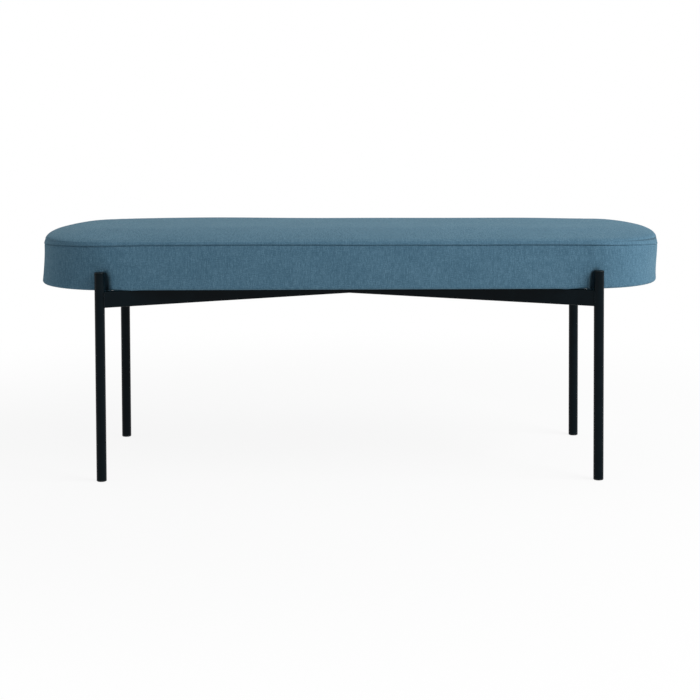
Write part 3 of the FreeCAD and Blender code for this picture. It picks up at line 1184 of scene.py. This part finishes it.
@dataclass
class SeatCushion:
    """The sewn and stuffed seat, turned under round its board."""

    plan: SeatPlan
    form: SeatForm
    pressure: float = 4.0
    steps: int = 20
    most_swell: float = 0.0020
    sewn_inset: float = 0.004
    free_reach: float = 0.012
    rim_height: float = 0.020
    leg_press: float = 0.0004
    wrinkles: Wrinkles = Wrinkles()
    sag: Sag = Sag()
    tuck: Tuck = Tuck()

    def build(self, finishes: Finishes) -> bpy.types.Object:
        """Make the cushion.

        Args:
            finishes: the materials.

        Returns:
            The cushion, in the place of the cover and its filling.
        """
        seat = self._raise_rings()
        self._fill_top_and_bottom(seat)
        self._slacken(seat)
        self._blow_up(seat)
        self._settle(seat)
        Bench.apply(seat, "SUBSURF", levels=1, render_levels=1)
        self._press_legs(seat)
        self._lay_cloth(seat)
        covered = ("cover_top_panel", "cover_border", "wadding_layer", "seat_foam")
        Bench.finish(seat, finishes.seat_cloth, "seat_cloth", covered, 60.0)
        return seat

    def _raise_rings(self) -> bpy.types.Object:
        """Draw the first ring round the board's rebate, and extrude it level by level up to the top.

        Returns:
            The open band of the seat.
        """
        self.columns = self.plan.columns()
        ring = list(range(len(self.columns)))
        seat = Bench.add("circle", "seat_cushion", vertices=len(ring), fill_type="NOTHING")
        for level, (inset, height) in enumerate(self.form.levels()):
            if level:
                ring = Bench.extrude_ring(seat, ring)
            for vertex, column in zip(ring, self.columns):
                place = column.place - column.out * inset
                seat.data.vertices[vertex].co = (place.x, place.y, height)
        return seat

    def _fill_top_and_bottom(self, seat: bpy.types.Object) -> None:
        """Fill the first and last rings with a grid of faces, and shape the top grid to the crown.

        Args:
            seat: the open band.
        """
        count = len(self.columns)
        total = len(seat.data.vertices)
        bend = (self.plan.corner_x + self.plan.corner_run) / 2
        span = sum(1 for column in self.columns if column.place.y > 0 and abs(column.run) < bend)
        apart = [abs(column.run + bend) + (column.place.y < 0) for column in self.columns]
        first = apart.index(min(apart))
        for start in (0, total - count):
            Bench.pick(seat, range(start, start + count))
            with Bench.editing():
                mesh = bmesh.from_edit_mesh(seat.data)
                mesh.verts.ensure_lookup_table()
                mesh.select_history.clear()
                mesh.select_history.add(mesh.verts[start + first])
                bmesh.update_edit_mesh(seat.data)
                bpy.ops.mesh.fill_grid(span=span, use_interp_simple=True)
        Bench.face_outward()
        for vertex in seat.data.vertices:
            spot = vertex.co
            if spot.z > self.form.seam + self.rim_height:
                spot.z = self.form.seam + self.form.crown(self.plan.beside(spot.x, spot.y).inset)

    def _slacken(self, seat: bpy.types.Object) -> None:
        """Let the free cloth lie a little low, and hold it where it is sewn and where it is fixed.

        Args:
            seat: the closed seat.
        """
        form = self.form
        held = seat.vertex_groups.new(name="held")
        normals = [vertex.normal.copy() for vertex in seat.data.vertices]
        for vertex, normal in zip(seat.data.vertices, normals):
            inset = self.plan.beside(vertex.co.x, vertex.co.y).inset
            free = 0.0
            if vertex.co.z > form.seam + form.lap_height:
                free = 1.0 - bell(max(inset - self.sewn_inset, 0.0), 0.0, self.free_reach)
            elif form.underside + form.foot_radius < vertex.co.z < form.seam - form.groove_width:
                free = math.sin(math.pi * form.up_side(vertex.co)) ** 0.7
            vertex.co -= normal * form.slack * free
            if free < 0.999:
                held.add([vertex.index], 1.0 - free, "REPLACE")

    def _blow_up(self, seat: bpy.types.Object) -> None:
        """Let the cloth swell under pressure, and keep each point's move within a cap.

        Args:
            seat: the slackened seat.
        """
        rest = [vertex.co.copy() for vertex in seat.data.vertices]
        Bench.choose(seat)
        cloth = seat.modifiers.new("cloth", "CLOTH")
        cloth.settings.use_pressure = True
        cloth.settings.uniform_pressure_force = self.pressure
        cloth.settings.vertex_group_mass = "held"
        cloth.settings.quality = 4
        cloth.settings.effector_weights.gravity = 0.0
        cloth.collision_settings.use_collision = False
        cloth.point_cache.frame_start = 1
        cloth.point_cache.frame_end = self.steps
        for moment in range(1, self.steps + 1):
            bpy.context.scene.frame_set(moment)
        bpy.ops.object.modifier_apply(modifier=cloth.name)
        bpy.context.scene.frame_set(1)
        moves = [vertex.co - start for vertex, start in zip(seat.data.vertices, rest)]
        log.info("cloth moved by up to %.1f mm", 1000 * max(move.length for move in moves))
        for vertex, start, move in zip(seat.data.vertices, rest, moves):
            swell = self.most_swell * math.tanh(move.length / self.most_swell)
            vertex.co = start + (move.normalized() * swell if move.length > 0 else move)

    def _settle(self, seat: bpy.types.Object) -> None:
        """Give the seat the small unevenness of real sewing and stuffing, and mark painted shade along the
        crease above the lap.

        Args:
            seat: the seat.
        """
        # Painted shade: a point attribute that darkens the cloth's colour in creases and folds.
        painted_crease_shade = seat.data.attributes.new("painted_crease_shade", "FLOAT", "POINT")
        for vertex, shade in zip(seat.data.vertices, painted_crease_shade.data):
            near = self.plan.beside(vertex.co.x, vertex.co.y)
            out, shade.value = self.wrinkles.at(self.form, vertex.co, near)
            vertex.co = self.form.settle(vertex.co) + near.out * out

    def _press_legs(self, seat: bpy.types.Object) -> None:
        """Tuck the cloth in beside each leg, paint shade into that fold, dent it behind the leg, and let it
        sag past the bar.

        Args:
            seat: the settled seat.
        """
        form = self.form
        painted_crease_shade = seat.data.attributes["painted_crease_shade"].data
        for leg in (LegPlace.of(name, self.plan) for name in LEGS):
            for vertex, shade in zip(seat.data.vertices, painted_crease_shade):
                spot = vertex.co
                far = abs(spot.x - leg.axis.x) > 2.0 * self.sag.reach
                if far or spot.y * leg.axis.y < 0 or spot.z > leg.top + self.tuck.above:
                    continue
                near = self.plan.beside(spot.x, spot.y)
                if near.inset < form.fixed_inset and form.at_foot(spot):
                    spot.z -= self.sag.drop(form, spot, near, leg)
                turned_under = form.at_foot(spot) and near.inset > form.foot_draw + form.foot_radius
                if near.inset <= self.tuck.reach and not turned_under:
                    fold = self.tuck.fold(spot, leg.past_leg(near), leg.top)
                    # Painted shade: the depth of the fold beside the leg also darkens the cloth there.
                    shade.value = max(shade.value, fold)
                    spot -= near.out * (self.tuck.room(form, spot, near.inset) * fold)
                    self._dent(spot, leg)

    def _dent(self, spot: Vector, leg: LegPlace) -> None:
        """Keep a point of the cloth behind the face of a leg.

        Args:
            spot: the point, which is moved.
            leg: the leg's place.
        """
        across = spot.x - leg.axis.x
        reach = leg.radius + self.leg_press
        if abs(across) < reach and spot.z < leg.top:
            face = leg.axis.y + leg.inward * math.sqrt(reach**2 - across**2)
            if (spot.y - face) * leg.inward < 0:
                spot.y = face

    def _lay_cloth(self, seat: bpy.types.Object) -> None:
        """Map the cloth flat over the top, and along the outline round the side.

        Args:
            seat: the finished shape.
        """
        layer = seat.data.uv_layers.new(name="cloth")
        upright = [(self.plan.beside(v.co.x, v.co.y).run, v.co.z) for v in seat.data.vertices]
        for face in seat.data.polygons:
            facing = Facing.LEVEL if abs(face.normal.z) > 0.5 else Facing.UPRIGHT
            for corner in face.loop_indices:
                vertex = seat.data.loops[corner].vertex_index
                if facing is Facing.LEVEL:
                    spot = seat.data.vertices[vertex].co
                    layer.data[corner].uv = (spot.x, spot.y)
                else:
                    layer.data[corner].uv = upright[vertex]


@dataclass
class LegCaps:
    """The domed plastic caps on the leg tops."""

    edge: float = 0.0021

    def build(self, finishes: Finishes) -> List[bpy.types.Object]:
        """Make the four caps.

        Args:
            finishes: the materials.

        Returns:
            The caps.
        """
        caps = []
        for name in LEGS:
            low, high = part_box(f"leg_cap_{name}")
            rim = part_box(f"leg_{name}")[1].z
            centre = (low + high) / 2
            place = (centre.x, centre.y, (high.z + rim) / 2)
            size = {"radius": (high.x - low.x) / 2, "depth": high.z - rim}
            cap = Bench.add("cylinder", f"domed_cap_{name}", vertices=48, location=place, **size)
            bpy.ops.object.transform_apply()
            Bench.apply(cap, "BEVEL", width=self.edge, segments=4, limit_method="ANGLE")
            caps.append(Bench.finish(cap, finishes.plastic, "black_plastic", (f"leg_cap_{name}",), 30.0))
        return caps


@dataclass
class LegWelds:
    """The rippled weld beads in the corners between the legs and their bars."""

    radius: float = 0.0022
    bar_half_width: float = 0.0075
    clear: float = 0.00006
    ripple: float = 0.0017
    ripple_depth: float = 0.20
    end_size: float = 0.6
    droop: float = 0.0006
    steps: int = 4
    arc_points: int = 8

    def build(self, finishes: Finishes) -> bpy.types.Object:
        """Make the eight beads as one piece.

        Args:
            finishes: the materials.

        Returns:
            The beads.
        """
        made = []
        for name in LEGS:
            low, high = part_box(f"leg_{name}")
            axis = (low + high) / 2
            for side in (-1.0, 1.0):
                bead = self._bead((high.x - low.x) / 2)
                bead.scale = (1.0, side, 1.0)
                bead.rotation_euler = (0.0, 0.0, math.atan2(axis.y, axis.x))
                bead.location = (axis.x, axis.y, 0.0)
                Bench.choose(bead)
                bpy.ops.object.transform_apply()
                made.append(bead)
        welds = Bench.join(made, "rippled_leg_welds")
        return Bench.finish(welds, finishes.powder_coat, "black_steel", ("leg_welds",), 60.0)

    def _bead(self, leg_radius: float) -> bpy.types.Object:
        """Extrude one bead upward beside a leg that stands on the origin.

        Args:
            leg_radius: the leg's radius.

        Returns:
            The bead.
        """
        low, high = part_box("leg_welds")
        count = round((high.z - low.z) / self.ripple) * self.steps
        ring = list(range(self.arc_points + 1))
        bead = Bench.add("circle", "weld_bead", vertices=len(ring), fill_type="NOTHING")
        first = ring
        for level in range(count + 1):
            if level:
                ring = Bench.extrude_ring(bead, ring)
            swell = abs(math.sin(math.pi * level / self.steps))
            size = self.radius * (1.0 - self.ripple_depth * (1.0 - swell))
            if level in (0, count):
                size *= self.end_size
            rise = (high.z - low.z) * level / count
            taper = min(rise, high.z - low.z - rise, self.ripple) / self.ripple
            for vertex, (x, y, share) in zip(ring, self._section(leg_radius, size)):
                height = low.z + rise - self.droop * taper * math.sin(math.pi * share)
                bead.data.vertices[vertex].co = (x, y, height)
        for end in (first, ring):
            Bench.pick(bead, end)
            with Bench.editing():
                bpy.ops.mesh.edge_face_add()
        return bead

    def _section(self, leg_radius: float, size: float) -> List[Tuple[float, float, float]]:
        """Points round a bead's section.

        Args:
            leg_radius: the leg's radius.
            size: the bead's radius at this height.

        Returns:
            Each point's place, and its share of the way round the bead's outside.
        """
        half = self.bar_half_width
        corner = (-math.sqrt(leg_radius**2 - half**2), half)
        lean = math.atan2(corner[1], corner[0]) - math.pi / 2 - math.asin(size / (2 * leg_radius))
        points = [(corner[0] - self.clear, corner[1] + 2 * self.clear, 0.0)]
        for step in range(self.arc_points):
            share = step / (self.arc_points - 1)
            turn = math.pi + (lean - math.pi) * share
            x = corner[0] + size * math.cos(turn) - self.clear
            y = corner[1] + size * math.sin(turn) + 2 * self.clear
            points.append((x, y, share))
        return points


@dataclass
class Staples:
    """The staples that hold the dust cover round its edge."""

    plan: SeatPlan
    inset: float = 0.017
    spacing: float = 0.034
    crown: float = 0.010
    wire: float = 0.0007
    flat: float = 1.6
    sway: float = 0.25

    def ring(self) -> List[Tuple[Vector, Vector]]:
        """Places round the dust cover's edge, with the way out from each.

        Returns:
            The places.
        """
        count = round(self.plan.quarter_run / self.spacing)
        quarter = [self.plan.at(self.plan.quarter_run * (i + 0.5) / count) for i in range(count)]
        places = []
        for across, along in ((1, 1), (1, -1), (-1, 1), (-1, -1)):
            for column in quarter:
                turned = self.plan.mirrored(column, across, along)
                places.append((turned.place - turned.out * self.inset, turned.out))
        return places

    def build(self, finishes: Finishes) -> bpy.types.Object:
        """Make all the staples as one piece.

        Args:
            finishes: the materials.

        Returns:
            The staples.
        """
        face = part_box("dust_cover")[0].z
        made = []
        for number, (spot, out) in enumerate(self.ring()):
            sway = self.sway * noise.noise(Vector((number * 1.7, 0.3, 0.0)))
            turn = math.atan2(out.y, out.x) + math.pi / 2 + sway
            place = (spot.x, spot.y, face - self.wire / 2)
            staple = Bench.add("cube", "staple", size=1.0, location=place, rotation=(0.0, 0.0, turn))
            staple.scale = (self.crown, self.wire * self.flat, self.wire)
            bpy.ops.object.transform_apply()
            made.append(staple)
        staples = Bench.join(made, "dust_cover_staples")
        Bench.apply(staples, "BEVEL", width=self.wire * 0.3, segments=1, limit_method="ANGLE")
        return Bench.finish(staples, finishes.zinc, "plated_steel")


@dataclass(frozen=True)
class Camera:
    """The camera of the photograph, with its height, tilt and shift."""

    place: Tuple[float, float, float] = (0.001677, -3.685439, 0.832728)
    yaw: float = 0.3332
    pitch: float = 3.1808
    roll: float = -0.2556
    lens: float = 96.451
    shift: Tuple[float, float] = (0.016485, -0.29860)

    def build(self) -> None:
        """Set the camera up and make it the scene's own."""
        data = bpy.data.cameras.new("camera")
        data.lens = self.lens
        data.sensor_width = 36.0
        data.shift_x, data.shift_y = self.shift
        camera = bpy.data.objects.new("camera", data)
        turn = (
            Matrix.Rotation(math.radians(self.yaw), 3, "Z")
            @ Matrix.Rotation(math.radians(90.0 - self.pitch), 3, "X")
            @ Matrix.Rotation(math.radians(self.roll), 3, "Z")
        )
        camera.matrix_world = Matrix.Translation(self.place) @ turn.to_4x4()
        bpy.context.scene.collection.objects.link(camera)
        bpy.context.scene.camera = camera


@dataclass(frozen=True)
class Studio:
    """A pale room with one broad lamp at the right and soft light all round."""

    surround: float = 0.475
    key_power: float = 113.0
    key_size: float = 2.4
    key_distance: float = 3.6
    key_aim: float = 0.4
    key_direction: Tuple[float, float, float] = (0.785, -0.395, 0.477)
    floor_size: float = 24.0
    floor_colour: Colour = (0.86, 0.86, 0.86)
    floor_white: float = 0.88
    floor_fade: Tuple[float, float] = (0.7, 1.7)

    def build(self) -> None:
        """Set up the world, the lamp and the floor."""
        self._world()
        self._key()
        self._floor()

    def _world(self) -> None:
        """A plain surround that is pure white to the camera."""
        world = bpy.data.worlds.new("surround")
        bpy.context.scene.world = world
        world.use_nodes = True
        sky = Nodes(world.node_tree)
        light = sky.node("ShaderNodeBackground", {}, {"Color": WHITE, "Strength": self.surround})
        shown = sky.node("ShaderNodeBackground", {}, {"Color": WHITE, "Strength": 1.0})
        mixed = sky.node("ShaderNodeMixShader", {}, {0: sky.sight(), 1: light, 2: shown})
        sky.fill(sky.tree.nodes.new("ShaderNodeOutputWorld").inputs["Surface"], mixed)

    def _key(self) -> None:
        """The broad lamp."""
        data = bpy.data.lights.new("key", "AREA")
        data.shape = "SQUARE"
        data.size = self.key_size
        data.energy = self.key_power
        lamp = bpy.data.objects.new("key", data)
        direction = Vector(self.key_direction).normalized()
        lamp.location = Vector((0.0, 0.0, self.key_aim)) + direction * self.key_distance
        lamp.rotation_mode = "QUATERNION"
        lamp.rotation_quaternion = (-direction).to_track_quat("-Z", "Y")
        bpy.context.scene.collection.objects.link(lamp)

    def _floor(self) -> None:
        """A plain pale floor that keeps the bench's shadow and fades to white far off."""
        floor = Bench.add("plane", "floor", size=self.floor_size)
        paint = Shader("floor")
        paint.set(Base_Color=self.floor_colour, Roughness=0.9, Specular_IOR_Level=0.0)
        distance = paint.node("ShaderNodeVectorMath", {"operation": "LENGTH"}, {0: paint.place()}, "Value")
        near, far = self.floor_fade
        white_share = distance.smooth(near, far) * (1.0 - self.floor_white) + self.floor_white
        lit = Socket(paint, paint.surface.outputs[0])
        white = paint.node("ShaderNodeEmission", {}, {"Color": WHITE, "Strength": 1.0})
        mixed = paint.node("ShaderNodeMixShader", {}, {0: paint.sight() * white_share, 1: lit, 2: white})
        paint.fill(paint.end, mixed)
        floor.data.materials.append(paint.material)


def main() -> None:
    """Dress the bench, piece by piece, and set up the studio."""
    logging.basicConfig(level=logging.INFO, format="%(name)s: %(message)s")
    bpy.context.scene.view_settings.view_transform = "Standard"
    finishes = Finishes()
    finishes.dress_frame(frame["nodes"])
    plan = SeatPlan()
    form = SeatForm(plan)
    SeatCushion(plan, form).build(finishes)
    LegCaps().build(finishes)
    LegWelds().build(finishes)
    Staples(plan).build(finishes)
    Camera().build()
    Studio().build()


if __name__ == "__main__":
    main()
